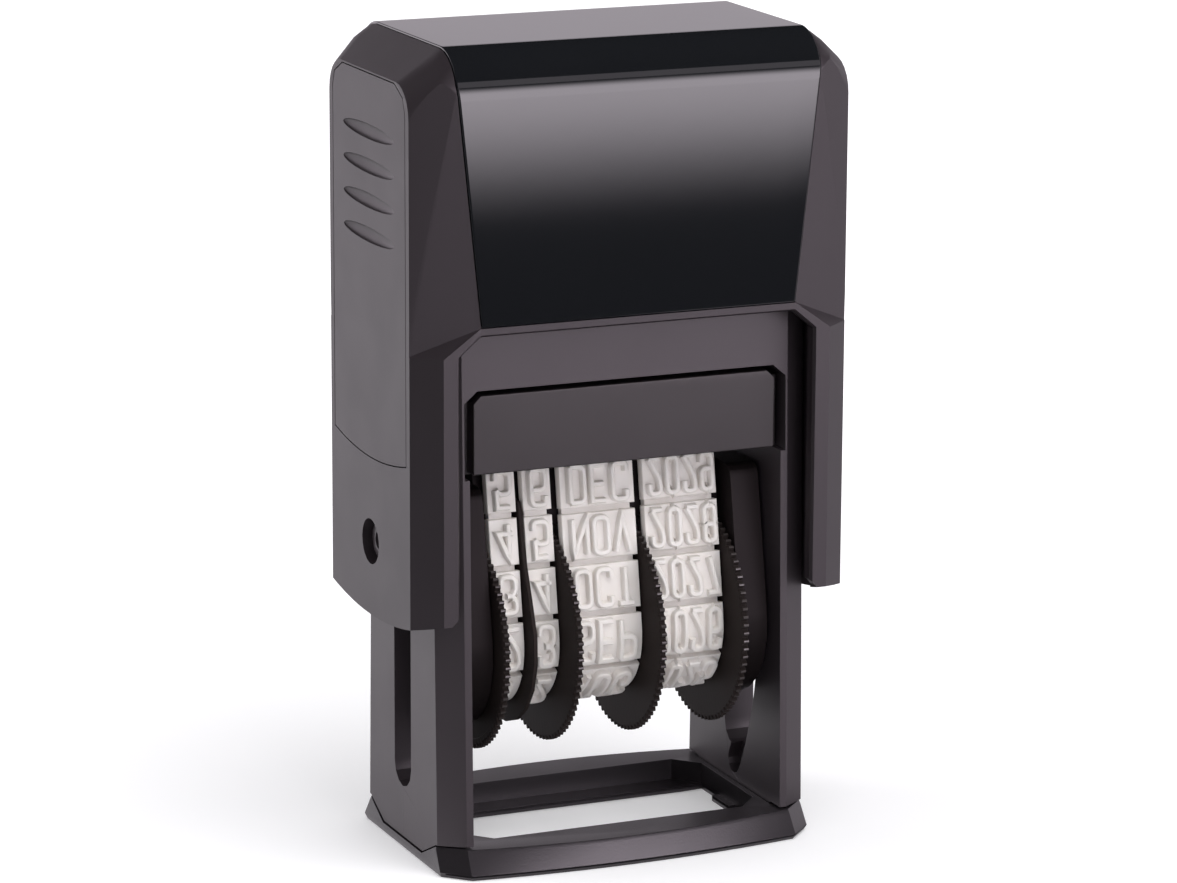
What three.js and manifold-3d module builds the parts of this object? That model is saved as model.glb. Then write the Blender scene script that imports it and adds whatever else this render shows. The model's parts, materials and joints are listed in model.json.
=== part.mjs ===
// Self-inking date stamp, in millimetres, +Z up, front towards -Y, origin on the floor under its middle.
// Pressing the handle turns the band holder over, from the ink pad above it to the paper below.

import * as THREE from "three";
import { mergeVertices } from "three/addons/utils/BufferGeometryUtils.js";
import Module from "manifold-3d";

const wasm = await Module();
wasm.setup();

// Fits between pieces, and how far a cut runs past the face that it opens
const seam = 0.15;
const coverFit = 0.1;
const runningFit = 0.1;
const boreFit = 0.15;
const slotFit = 0.2;
const camFit = 0.35;
const looseFit = 0.3;
const slideFit = 0.5;
const overrun = 1;
const weldDistance = 0.0001;

// Counts of the faces on round stretches
const arcCount = 6;
const roundCount = 24;
const pinCount = 16;

// Press and flip: heights at rest, and reaches from the flip axle
const axleHeight = 30;
const printReach = 8.3;
const wheelDrop = 10.15;
const camRadius = 3.8;
const travel = axleHeight - printReach;

// Widths along X of the discs and bands, whose stack stands a little left of the middle
const stackShift = -0.2;
const discThickness = 0.6;
const dayBandWidth = 2.85;
const monthBandWidth = 7.5;
const yearBandWidth = 7.5;
const dividerThickness = 0.4;

// Bands, whose base runs round a hub and over a flat nose
const bandThickness = 0.8;
const blockRise = 0.6;
const typeRise = 0.6;
const noseHalf = 2.1;
const noseRadius = 0.3;
const blockCount = 12;
const blockGap = 0.55;
const typeMargin = 0.35;
const platenGap = 0.2;

// Setting wheels and their axle
const hubRadius = 4.75;
const discRadius = 10.5;
const toothDepth = 0.22;
const toothCount = 84;
const wheelAxleRadius = 1.5;
const wheelAxleInset = 0.6;

// Cheeks, platen, divider and pins of the band holder
const cheekThickness = 2.5;
const cheekTopHalf = 4.1;
const cheekTopMargin = 0.1;
const cheekTopRadius = 1.4;
const cheekLowRadius = 8;
const platenTenonHalf = 1.6;
const platenTenonDepth = 0.9;
const platenTenonCover = 0.95;
const dividerRadius = 8.4;
const dividerWaistHalf = 5.75;
const dividerWaistDrop = 2.3;
const dividerNeckHalf = 4.45;
const dividerNeckRise = 2.5;
const dividerTopHalf = 4.1;
const dividerTopRise = 3.5;
const dividerShoulderAngle = Math.PI / 6;
const pivotRadius = 1.9;
const pivotEndRadius = 1.6;
const pivotEndBore = 0.85;
const pivotEndBoreDepth = 4;
const pivotEndRecess = 0.8;
const pinRootDepth = 1.3;
const flipPinRadius = 0.9;
const camDepth = 1.2;

// Base frame: an octagon in plan that tapers towards its top
const holderFit = 0.4;
const postThickness = 3;
const frameTopHalfDepth = 9.05;
const frameTaper = 1.25;
const frameFacetWidth = 2.3;
const frameFacetDepth = 1.6;
const ledgeClearance = 2;
const chamberHeight = 8.2;
const chamberLedge = 0.5;
const chamberCornerWidth = 1.3;
const chamberCornerHeight = 1.1;
const chamberRoof = 1.2;
const chamberBackWall = 1.3;
const boxDepth = 4.8;
const boxWall = 1.4;
const cupWall = 1.2;
const cupRim = 0.5;
const tongueTopHalf = 8.4;
const tongueBottomHalf = 4.95;
const tongueBottom = 1.1;

// Foot ring, whose outside is measured from the bottom of the frame
const footTop = 2.6;
const footSoleInset = 0.05;
const footSoleReach = 1.5;
const footLipMargin = 0.15;
const footLipReach = 1.75;
const footLipHeight = 0.5;
const footBrowMargin = 0.05;
const footBrowReach = 0.5;
const footBrowDrop = 0.3;
const footTopReach = 0.3;
const footSoleBow = 1.15;
const footTopBow = 1.75;
const footCorner = 2.26;
const footShelf = 0.7;
const footBarDepth = 2.1;
const footGussetWidth = 2.2;
const footGussetDepth = 2.4;
const footFlangeReach = 2.6;
const footFlangeThickness = 0.6;
const footTabReach = 0.7;
const footTabHalf = 1.9;

// Ink cartridge and pad
const trayWallWidth = 2.3;
const trayWallDepth = 1.7;
const trayRoof = 1.2;
const coverInset = 0.05;
const coverSideGap = 0.5;
const coverSill = 0.33;
const coverTopGap = 0.5;
const coverCorner = 0.75;

// Handle shell: side profiles at three stations along X, and the parts that it carries
const handleSideWall = 2.6;
const handleChamferWidth = 2.5;
const handleCrownInset = 3.8;
const handleFit = 0.4;
const handleWall = 1.4;
const handleSideInset = 2.05;
const handleRoof = 1.65;
const handleSideDrop = 3;
const handleCrownRound = 4.2;
const handleChamferRound = 3.8;
const handleSideRound = 3.1;
const handleBottomDrop = 7;
const handleBottomRadius = 50;
const cavityTaper = 1.9;
const cavityTaperRise = 2.2;
const cavityCorner = 1;
const archInset = 1;
const archCornerWidth = 2.1;
const archCornerHeight = 1.75;
const archTopDrop = 0.4;
const archBevel = 0.2;
const archBevelDepth = 0.3;
const flangeChamfer = 0.8;
const axleCounterboreRadius = 2.15;
const axleCounterboreDepth = 1.4;
const bossFit = 0.4;
const bossLength = 4.2;
const plateProud = 0.2;
const plateTopProud = 0.15;
const plateThickness = 0.8;
const plateBottomRise = 0.9;
const plateSideInset = 0.05;
const plateSideTaper = 2.35;
const plateShoulderDrop = 3;

// Grip panels, let into the sides of the handle
const gripThickness = 0.75;
const gripSideMargin = 0.95;
const gripTopMargin = 0.25;
const gripTopInset = 2.5;
const gripCornerInset = 0.5;
const gripCornerDrop = 1;
const gripSideDrop = 2.4;
const gripRise = 8.05;
const gripBottomRadius = 40;
const grooveCount = 4;
const grooveDrop = 5.3;
const groovePitch = 3.17;
const grooveHalfLength = 6.4;
const grooveHalfHeight = 0.7;
const grooveDepth = 0.45;

// Main spring
const springWire = 0.8;
const springRadius = 3.8;
const springEndGap = 0.2;
const springTurnCount = 7;
const springStepCount = 8;
const springSideCount = 5;

// The stack of discs and bands, and the places in the band holder, whose heights are from its axle
const stackWidths = [
  discThickness, dayBandWidth, dividerThickness, dayBandWidth, discThickness,
  monthBandWidth, discThickness, yearBandWidth, discThickness,
];
const stackWidth = stackWidths.reduce((sum, width) => sum + seam + width);
const stack = laidOut(stackShift - stackWidth / 2, stackWidths);
const [discTens, bandTens, divider, bandUnits, discUnits, bandMonth, discMonth, bandYear, discYear] = stack;
const cheekInner = [discTens[0] - seam, discYear[1] + seam];
const cheekOuter = Math.max(-cheekInner[0], cheekInner[1]) + cheekThickness;
const cheekTopRise = camRadius + cheekTopMargin;
const wheelHeight = -wheelDrop;
const noseHeight = printReach - typeRise - blockRise - bandThickness - noseRadius;
const platenBottom = wheelHeight + discRadius + looseFit;

// Places in the frame and the cartridge
const windowHalfWidth = cheekOuter + holderFit;
const frameHalfWidth = windowHalfWidth + postThickness;
const frameBottomHalfDepth = frameTopHalfDepth + frameTaper;
const frameBottom = footTop + seam;
const ledgeHeight = axleHeight + cheekTopRise + cheekTopRadius + ledgeClearance;
const chamberHalfWidth = windowHalfWidth + chamberLedge;
const chamberTop = ledgeHeight + chamberHeight;
const floorTop = chamberTop + chamberRoof;
const frameTop = floorTop + boxDepth;
const cupInner = springRadius + springWire / 2 + camFit;
const trayBottom = ledgeHeight + seam;
const trayHalfWidth = chamberHalfWidth - slotFit;
const trayHalfDepth = frameTopHalfDepth - chamberBackWall - seam;
const trayTop = chamberTop - chamberCornerHeight - seam;
const padBottom = axleHeight + printReach + looseFit;

// Places in the handle
const cavityHalfWidth = frameHalfWidth + slideFit;
const cavityHalfDepth = frameBottomHalfDepth + handleFit;
const cavityShoulder = frameTop + travel - slotFit;
const cavityTop = cavityShoulder + cavityTaperRise;
const handleHalfWidth = cavityHalfWidth + handleSideWall;
const handleChamferStart = handleHalfWidth - handleChamferWidth;
const handleCrownHalfWidth = handleHalfWidth - handleCrownInset;
const handleHalfDepth = cavityHalfDepth + handleWall;
const handleSideHalfDepth = handleHalfDepth - handleSideInset;
const handleTop = cavityTop + handleRoof;
const handleSideTop = handleTop - handleSideDrop;
const handleBottom = axleHeight - handleBottomDrop;
const archHalfWidth = frameHalfWidth - archInset;
const archTop = frameTop - archTopDrop;
const plateTop = handleTop + plateTopProud;
const plateBottom = archTop + plateBottomRise;
const plateTopHalfWidth = handleCrownHalfWidth - plateSideInset;
const gripHalfDepth = handleSideHalfDepth - gripSideMargin;
const gripTop = handleSideTop - gripTopMargin;

// The spans of widths laid side by side from a left end, a seam apart
function laidOut(left, widths) {
  let edge = left;
  return widths.map((width) => {
    const span = [edge, edge + width];
    edge = span[1] + seam;
    return span;
  });
}

// Solids from geometries, and back

function solidOf(geometry) {
  const bare = geometry.clone();
  bare.deleteAttribute("normal");
  bare.deleteAttribute("uv");
  const merged = mergeVertices(bare, weldDistance);
  const corners = merged.index.array;
  const kept = [];
  for (let i = 0; i < corners.length; i += 3) {
    const [a, b, c] = corners.slice(i, i + 3);
    if (a !== b && b !== c && c !== a) kept.push(a, b, c);
  }
  return new wasm.Manifold(new wasm.Mesh({
    numProp: 3,
    vertProperties: new Float32Array(merged.attributes.position.array),
    triVerts: new Uint32Array(kept),
  }));
}

function geometryOf(solid) {
  const { vertProperties, triVerts } = solid.getMesh();
  const geometry = new THREE.BufferGeometry();
  geometry.setAttribute("position", new THREE.BufferAttribute(new Float32Array(vertProperties), 3));
  geometry.setIndex(new THREE.BufferAttribute(new Uint32Array(triVerts), 1));
  geometry.computeVertexNormals();
  return geometry;
}

function joined(first, ...others) {
  return others.reduce((sum, other) => sum.add(other), first);
}

function cut(first, ...others) {
  return others.reduce((rest, other) => rest.subtract(other), first);
}

// Primitive shapes

function block([x0, x1], [y0, y1], [z0, z1]) {
  const box = new THREE.BoxGeometry(x1 - x0, y1 - y0, z1 - z0);
  box.translate((x0 + x1) / 2, (y0 + y1) / 2, (z0 + z1) / 2);
  return solidOf(box);
}

function extruded(outline, depth) {
  const shape = new THREE.Shape(outline.map(([u, v]) => new THREE.Vector2(u, v)));
  return new THREE.ExtrudeGeometry(shape, { depth, bevelEnabled: false });
}

// A prism along X of an outline of [y, z] points
function prismX(outline, [x0, x1]) {
  const [xAxis, yAxis, zAxis] = [0, 1, 2].map((i) => new THREE.Vector3().setComponent(i, 1));
  const prism = extruded(outline, x1 - x0);
  prism.applyMatrix4(new THREE.Matrix4().makeBasis(yAxis, zAxis, xAxis));
  prism.translate(x0, 0, 0);
  return solidOf(prism);
}

// A prism along Y of an outline of [x, z] points
function prismY(outline, [y0, y1]) {
  const prism = extruded(outline, y1 - y0);
  prism.rotateX(Math.PI / 2);
  prism.translate(0, y1, 0);
  return solidOf(prism);
}

// A prism along Z of an outline of [x, y] points
function prismZ(outline, [z0, z1]) {
  const prism = extruded(outline, z1 - z0);
  prism.translate(0, 0, z0);
  return solidOf(prism);
}

// A round rod along X, at the height z
function rod(radius, [x0, x1], z, sideCount) {
  const pin = new THREE.CylinderGeometry(radius, radius, x1 - x0, sideCount);
  pin.rotateZ(-Math.PI / 2);
  pin.translate((x0 + x1) / 2, 0, z);
  return solidOf(pin);
}

// A round post along Z, in the middle
function post(radius, [z0, z1]) {
  const column = new THREE.CylinderGeometry(radius, radius, z1 - z0, roundCount);
  column.rotateX(Math.PI / 2);
  column.translate(0, 0, (z0 + z1) / 2);
  return solidOf(column);
}

// A closed skin through rings of equally many points, with flat or fanned ends, facing outwards
function loft(rings) {
  const count = rings[0].length;
  const last = (rings.length - 1) * count;
  const faces = [];
  for (let start = 0; start < last; start += count) {
    for (let i = 0; i < count; i += 1) {
      const j = (i + 1) % count;
      faces.push([start + i, start + j, start + count + j]);
      faces.push([start + i, start + count + j, start + count + i]);
    }
  }
  for (let i = 1; i + 1 < count; i += 1) {
    faces.push([0, i + 1, i]);
    faces.push([last, last + i, last + i + 1]);
  }
  const points = rings.flat().map((p) => new THREE.Vector3(...p));
  const volume = faces.reduce((sum, [a, b, c]) => {
    return sum + points[a].dot(points[b].clone().cross(points[c]));
  }, 0);
  const outward = volume > 0 ? faces : faces.map(([a, b, c]) => [a, c, b]);
  const geometry = new THREE.BufferGeometry().setFromPoints(points);
  geometry.setIndex(outward.flat());
  return geometry;
}

// Outlines

// An octagon in plan at the height z: a box whose upright edges are cut off
function octagon(halfX, halfY, cutX, cutY, z) {
  const quarter = [[halfX, halfY - cutY], [halfX - cutX, halfY]];
  const rear = [...quarter, ...quarter.map(([x, y]) => [-x, y]).reverse()];
  return [...rear, ...rear.map(([x, y]) => [-x, -y])].map(([x, y]) => [x, y, z]);
}

// An outline with every edge moved outwards by a distance
function grown(outline, distance) {
  const area = outline.reduce((sum, [u, v], i) => {
    const [nextU, nextV] = outline[(i + 1) % outline.length];
    return sum + u * nextV - nextU * v;
  }, 0);
  const shift = distance * Math.sign(area);
  return outline.map(([u, v], i) => {
    const [prevU, prevV] = outline[(i + outline.length - 1) % outline.length];
    const [nextU, nextV] = outline[(i + 1) % outline.length];
    const inAngle = Math.atan2(v - prevV, u - prevU);
    const outAngle = Math.atan2(nextV - v, nextU - u);
    const turn = (outAngle - inAngle) / 2;
    const normal = inAngle + turn - Math.PI / 2;
    const reach = shift / Math.cos(turn);
    return [u + reach * Math.cos(normal), v + reach * Math.sin(normal)];
  });
}

function mirrored(halfOutline) {
  return [...halfOutline, ...halfOutline.map(([u, v]) => [-u, v]).reverse()];
}

function sided(side, [a, b]) {
  return side < 0 ? [-b, -a] : [a, b];
}

// Half of a side profile of the handle: a wall and a rounded top corner, from the floor up
function halfProfile(halfDepth, top, round, bottom) {
  const points = [[halfDepth, bottom]];
  for (let i = 0; i <= arcCount; i += 1) {
    const angle = (Math.PI / 2) * (i / arcCount);
    points.push([halfDepth - round + round * Math.cos(angle), top - round + round * Math.sin(angle)]);
  }
  return points;
}

// A lower edge that bows down in the middle, as [y, z] points from -Y to +Y
function bowedEdge(halfWidth, bottom, radius) {
  return Array.from({ length: 2 * arcCount + 1 }, (_, i) => {
    const y = halfWidth * (i / arcCount - 1);
    return [y, bowHeight(y, bottom, radius)];
  });
}

function bowHeight(y, bottom, radius) {
  return bottom + radius - Math.sqrt(radius * radius - y * y);
}

// The loop round two upper circles and a lower one. It is followed from its top middle towards +Y,
// and a point on it is given by its distance along the loop and its distance outside of it.
function tearLoop(upper, lower) {
  const rise = upper.z - lower.z;
  const reach = Math.hypot(upper.half, rise);
  const difference = lower.radius - upper.radius;
  const lean = Math.atan2(rise, upper.half) - Math.acos(difference / reach);
  const straight = Math.sqrt(reach * reach - difference * difference);
  const noseEnd = upper.half + upper.radius * (Math.PI / 2 - lean);
  const sideEnd = noseEnd + straight;
  const halfLength = sideEnd + lower.radius * (lean + Math.PI / 2);
  const length = 2 * halfLength;

  function point(distance, out) {
    const along = ((distance % length) + length) % length;
    const side = along > halfLength ? -1 : 1;
    const t = side < 0 ? length - along : along;
    if (t <= upper.half) return [side * t, upper.z + upper.radius + out];
    const share = Math.min(Math.max((t - noseEnd) / straight, 0), 1);
    const radius = upper.radius + difference * share;
    const noseTurn = Math.max(noseEnd - t, 0) / upper.radius;
    const lowTurn = Math.max(t - sideEnd, 0) / lower.radius;
    const angle = lean + noseTurn - lowTurn;
    const y = upper.half * (1 - share) + (radius + out) * Math.cos(angle);
    return [side * y, upper.z - rise * share + (radius + out) * Math.sin(angle)];
  }

  const halfStops = [upper.half];
  for (let i = 1; i <= arcCount / 2; i += 1) {
    halfStops.push(upper.half + (noseEnd - upper.half) * (2 * i / arcCount));
  }
  for (let i = 0; i < arcCount; i += 1) {
    halfStops.push(sideEnd + (halfLength - sideEnd) * (i / arcCount));
  }
  const stops = [...halfStops, halfLength, ...halfStops.map((s) => length - s).reverse()];

  function outline(out) {
    return stops.map((s) => point(s, out));
  }

  function strip(from, to, inner, outer) {
    const around = [...stops.map((s) => s - length), ...stops];
    const inside = around.filter((s) => s > from + weldDistance && s < to - weldDistance);
    const path = [from, ...inside, to];
    return [...path.map((s) => point(s, outer)), ...path.map((s) => point(s, inner)).reverse()];
  }

  function halfWidthAt(z, out) {
    return upper.half + (upper.radius + out - (z - upper.z) * Math.sin(lean)) / Math.cos(lean);
  }

  return { length, outline, strip, halfWidthAt };
}

// The outline of a track of one width along a path, with round ends
function track(path, halfWidth) {
  const angles = path.map(([u, v], i) => {
    const [prevU, prevV] = path[Math.max(i - 1, 0)];
    const [nextU, nextV] = path[Math.min(i + 1, path.length - 1)];
    return Math.atan2(nextV - prevV, nextU - prevU);
  });
  const beside = (i, turn) => [
    path[i][0] + halfWidth * Math.cos(angles[i] + turn),
    path[i][1] + halfWidth * Math.sin(angles[i] + turn),
  ];
  const end = path.length - 1;
  const round = Array.from({ length: arcCount - 1 }, (_, i) => (Math.PI * (i + 1)) / arcCount);
  return [
    ...path.map((_, i) => beside(i, -Math.PI / 2)),
    ...round.map((turn) => beside(end, turn - Math.PI / 2)),
    ...path.map((_, i) => beside(end - i, Math.PI / 2)),
    ...round.map((turn) => beside(0, turn + Math.PI / 2)),
  ];
}

// Handle and what is fixed to it, at its place on the floor's axes

function handleSection(x) {
  const slope = (handleTop - handleSideTop) / (handleHalfWidth - handleCrownHalfWidth);
  const chamferTop = handleTop - slope * (handleChamferStart - handleCrownHalfWidth);
  const station = {
    [handleCrownHalfWidth]: [handleHalfDepth, handleTop, handleCrownRound],
    [handleChamferStart]: [handleHalfDepth, chamferTop, handleChamferRound],
    [handleHalfWidth]: [handleSideHalfDepth, handleSideTop, handleSideRound],
  }[Math.abs(x)];
  const profile = halfProfile(...station, handleBottom - overrun);
  return mirrored(profile).map(([y, z]) => [x, y, z]);
}

const plateHalfDepth = handleHalfDepth + plateProud;
const plateRound = handleCrownRound + plateProud;
const plateFace = mirrored([
  [plateTopHalfWidth - plateSideTaper, plateBottom],
  [plateTopHalfWidth, plateTop - plateShoulderDrop],
  [plateTopHalfWidth, plateTop + overrun],
]);

function plateLayer(depth) {
  const [halfDepth, top, round] = [plateHalfDepth, plateTop, plateRound].map((size) => size - depth);
  const profile = halfProfile(halfDepth, top, round, plateBottom - overrun);
  return prismX(mirrored(profile), [-handleHalfWidth, handleHalfWidth]);
}

function plateBlank(margin) {
  return prismY(grown(plateFace, margin), [-handleHalfDepth - overrun, handleHalfDepth + overrun]);
}

const gripFace = [
  ...bowedEdge(gripHalfDepth, axleHeight + gripRise, gripBottomRadius),
  ...mirrored([
    [gripHalfDepth, gripTop - gripSideDrop],
    [gripHalfDepth - gripCornerInset, gripTop - gripCornerDrop],
    [gripHalfDepth - gripTopInset, gripTop],
  ]),
];

// What the facets beside the plate take off at one corner: each level is a section from the plate's
// edge to the handle's side
function facetCut(sideX, sideY) {
  const sections = [
    [archTop - archCornerHeight, handleChamferStart],
    [plateBottom, plateTopHalfWidth - plateSideTaper],
    [plateTop - plateShoulderDrop, plateTopHalfWidth],
    [plateTop + overrun, plateTopHalfWidth],
  ].map(([z, edge]) => {
    const fall = handleSideInset * seam / (handleHalfWidth - edge);
    return [
      [edge, handleHalfDepth],
      [edge, handleHalfDepth + overrun],
      [handleHalfWidth + seam, handleHalfDepth + overrun],
      [handleHalfWidth + seam, handleSideHalfDepth - fall],
    ].map(([x, y]) => [sideX * x, sideY * y, z]);
  });
  return solidOf(loft(sections));
}

function cavitySection(inset, z) {
  return octagon(cavityHalfWidth - inset, cavityHalfDepth - inset, cavityCorner, cavityCorner, z);
}

function handleShell() {
  const stations = [handleCrownHalfWidth, handleChamferStart, handleHalfWidth];
  const places = [...stations.map((x) => -x).reverse(), ...stations];
  const body = solidOf(loft(places.map(handleSection)));
  const facets = [-1, 1].flatMap((sideX) => [-1, 1].map((sideY) => facetCut(sideX, sideY)));
  const cavity = solidOf(loft([
    cavitySection(0, 0),
    cavitySection(0, cavityShoulder),
    cavitySection(cavityTaper, cavityTop),
  ]));
  const below = prismX([
    [handleHalfDepth + overrun, 0],
    [-handleHalfDepth - overrun, 0],
    ...bowedEdge(handleHalfDepth + overrun, handleBottom, handleBottomRadius),
  ], [-handleHalfWidth - overrun, handleHalfWidth + overrun]);
  const flangeBottom = bowHeight(handleHalfDepth, handleBottom, handleBottomRadius);
  const arch = prismY(mirrored([
    [archHalfWidth + flangeChamfer, 0],
    [archHalfWidth + flangeChamfer, flangeBottom],
    [archHalfWidth, flangeBottom + flangeChamfer],
    [archHalfWidth, archTop - archCornerHeight],
    [archHalfWidth - archCornerWidth, archTop],
  ]), [-handleHalfDepth - overrun, handleHalfDepth + overrun]);
  const archFace = mirrored([
    [archHalfWidth, 0],
    [archHalfWidth, archTop - archCornerHeight],
    [archHalfWidth - archCornerWidth, archTop],
  ]);
  const ring = (margin, y) => grown(archFace, margin).map(([x, z]) => [x, y, z]);
  const bevels = [-1, 1].map((side) => solidOf(loft([
    ring(0, side * (handleHalfDepth - archBevelDepth)),
    ring(2 * archBevel, side * (handleHalfDepth + archBevelDepth)),
  ])));
  const bores = [-1, 1].flatMap((side) => [
    rod(
      pivotEndRadius + boreFit,
      sided(side, [cavityHalfWidth - overrun, handleHalfWidth + overrun]),
      axleHeight,
      pinCount,
    ),
    rod(
      axleCounterboreRadius,
      sided(side, [handleHalfWidth - axleCounterboreDepth, handleHalfWidth + overrun]),
      axleHeight,
      roundCount,
    ),
  ]);
  const platePocket = plateBlank(coverFit).subtract(plateLayer(plateThickness + coverFit));
  const gripPockets = [-1, 1].map((side) => prismX(
    grown(gripFace, coverFit),
    sided(side, [handleHalfWidth - gripThickness - coverFit, handleHalfWidth + overrun]),
  ));
  const bossRadius = springRadius - springWire / 2 - bossFit;
  const boss = post(bossRadius, [cavityTop - bossLength, cavityTop + seam]);
  const outer = cut(body, ...facets, below, platePocket, ...gripPockets);
  return cut(outer, cavity, arch, ...bevels, ...bores).add(boss);
}

function glossCover() {
  return plateBlank(0).intersect(plateLayer(0).subtract(plateLayer(plateThickness)));
}

function gripPanel(side) {
  const panel = prismX(gripFace, sided(side, [handleHalfWidth - gripThickness, handleHalfWidth]));
  const grooves = Array.from({ length: grooveCount }, (_, i) => {
    const scoop = new THREE.SphereGeometry(1, roundCount, arcCount + arcCount);
    scoop.scale(grooveDepth, grooveHalfLength, grooveHalfHeight);
    scoop.translate(side * handleHalfWidth, 0, gripTop - grooveDrop - i * groovePitch);
    return solidOf(scoop);
  });
  return cut(panel, ...grooves);
}

// Base frame, foot, ink cartridge, pad and spring

const tongueFace = mirrored([
  [tongueBottomHalf, tongueBottom],
  [tongueTopHalf, frameBottom],
  [tongueTopHalf, frameBottom + overrun],
]);

function frameSkin([z0, halfDepth0], [z1, halfDepth1]) {
  return solidOf(loft([
    octagon(frameHalfWidth, halfDepth0, frameFacetWidth, frameFacetDepth, z0),
    octagon(frameHalfWidth, halfDepth1, frameFacetWidth, frameFacetDepth, z1),
  ]));
}

function camPath() {
  const stepCount = roundCount;
  return Array.from({ length: stepCount + 1 }, (_, i) => {
    const turn = (Math.PI * i) / stepCount;
    const axle = axleHeight - (travel * i) / stepCount;
    return [-camRadius * Math.sin(turn), axle + camRadius * Math.cos(turn)];
  });
}

function baseFrame() {
  const acrossX = [-frameHalfWidth - overrun, frameHalfWidth + overrun];
  const acrossY = [-frameBottomHalfDepth - overrun, frameBottomHalfDepth + overrun];
  const posts = frameSkin([frameBottom, frameBottomHalfDepth], [frameTop, frameTopHalfDepth]);
  const tongues = frameSkin([0, frameBottomHalfDepth], [frameBottom + overrun, frameBottomHalfDepth])
    .intersect(prismX(tongueFace, acrossX));
  const window = block([-windowHalfWidth, windowHalfWidth], acrossY, [0, ledgeHeight]);
  const chamber = prismY(mirrored([
    [chamberHalfWidth, ledgeHeight],
    [chamberHalfWidth, chamberTop - chamberCornerHeight],
    [chamberHalfWidth - chamberCornerWidth, chamberTop],
  ]), [acrossY[0], trayHalfDepth + seam]);
  const boxHalfWidth = frameHalfWidth - boxWall;
  const boxHalfDepth = frameTopHalfDepth - boxWall;
  const box = block(
    [-boxHalfWidth, boxHalfWidth],
    [-boxHalfDepth, boxHalfDepth],
    [floorTop, frameTop + overrun],
  );
  const slotRadius = pivotRadius + slotFit;
  const slotFace = track([[0, printReach - slotFit], [0, axleHeight]], slotRadius);
  const camFace = track(camPath(), flipPinRadius + camFit);
  const sideCuts = [-1, 1].flatMap((side) => [
    prismX(slotFace, sided(side, [windowHalfWidth - overrun, frameHalfWidth + overrun])),
    prismX(camFace, sided(side, [windowHalfWidth - overrun, windowHalfWidth + camDepth])),
  ]);
  const cupTop = frameTop - cupRim;
  const cup = post(cupInner + cupWall, [floorTop - seam, cupTop])
    .subtract(post(cupInner, [floorTop, cupTop + overrun]));
  return cut(posts.add(tongues), window, chamber, box, ...sideCuts).add(cup);
}

// A section of the foot, by how far it stands out from the frame at the sides and at the front, and by
// how much further its front and back reach in the middle
function footSection(sideMargin, frontMargin, bow, z) {
  const halfWidth = frameHalfWidth + sideMargin;
  const halfDepth = frameBottomHalfDepth + frontMargin;
  const edgeHalf = halfWidth - footCorner;
  const edge = Array.from({ length: 2 * arcCount + 1 }, (_, i) => {
    const share = 1 - i / arcCount;
    return [edgeHalf * share, halfDepth + bow * (1 - share * share)];
  });
  const rear = [[halfWidth, halfDepth - footCorner], ...edge, [-halfWidth, halfDepth - footCorner]];
  return [...rear, ...rear.map(([x, y]) => [-x, -y])].map(([x, y]) => [x, y, z]);
}

function footRing() {
  const body = solidOf(loft([
    footSection(-footSoleInset, footSoleReach, footSoleBow, 0),
    footSection(footLipMargin, footLipReach, footSoleBow, footLipHeight),
    footSection(footBrowMargin, footBrowReach, footTopBow, footTop - footBrowDrop),
    footSection(0, footTopReach, footTopBow, footTop),
  ]));
  const openingHalfWidth = windowHalfWidth - footShelf;
  const openingHalfDepth = frameBottomHalfDepth - footBarDepth;
  const opening = (inset, span) => {
    const halfDepth = openingHalfDepth - inset;
    return prismZ(octagon(openingHalfWidth, halfDepth, footGussetWidth, footGussetDepth - inset, 0), span);
  };
  const upper = opening(0, [footFlangeThickness, footTop + overrun]);
  const lower = opening(footFlangeReach, [-overrun, footFlangeThickness + seam]);
  const notches = [-1, 1].map((side) => prismX(
    grown(tongueFace, seam),
    sided(side, [windowHalfWidth - seam, frameHalfWidth + footLipMargin + overrun]),
  ));
  const tabs = [-1, 1].map((side) => block(
    sided(side, [openingHalfWidth - footTabReach, openingHalfWidth + seam]),
    [-footTabHalf, footTabHalf],
    [0, footFlangeThickness],
  ));
  return joined(cut(body, upper, lower, ...notches), ...tabs);
}

const trayInnerHalfWidth = trayHalfWidth - trayWallWidth;
const trayInnerHalfDepth = trayHalfDepth - trayWallDepth;

function inkCartridge() {
  const tray = block([-trayHalfWidth, trayHalfWidth], [-trayHalfDepth, trayHalfDepth], [trayBottom, trayTop]);
  const hollow = block(
    [-trayInnerHalfWidth, trayInnerHalfWidth],
    [-trayInnerHalfDepth, trayInnerHalfDepth],
    [trayBottom - overrun, trayTop - trayRoof],
  );
  const coverHalfWidth = windowHalfWidth - coverSideGap;
  const coverTop = chamberTop - coverTopGap;
  const cover = prismY(mirrored([
    [coverHalfWidth, ledgeHeight + coverSill],
    [coverHalfWidth, coverTop - coverCorner],
    [coverHalfWidth - coverCorner, coverTop],
  ]), [coverInset - frameTopHalfDepth, seam - trayHalfDepth]);
  return tray.subtract(hollow).add(cover);
}

function inkPad() {
  const halfWidth = trayInnerHalfWidth - looseFit;
  const halfDepth = trayInnerHalfDepth - looseFit;
  return block([-halfWidth, halfWidth], [-halfDepth, halfDepth], [padBottom, trayTop - trayRoof - looseFit]);
}

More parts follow.
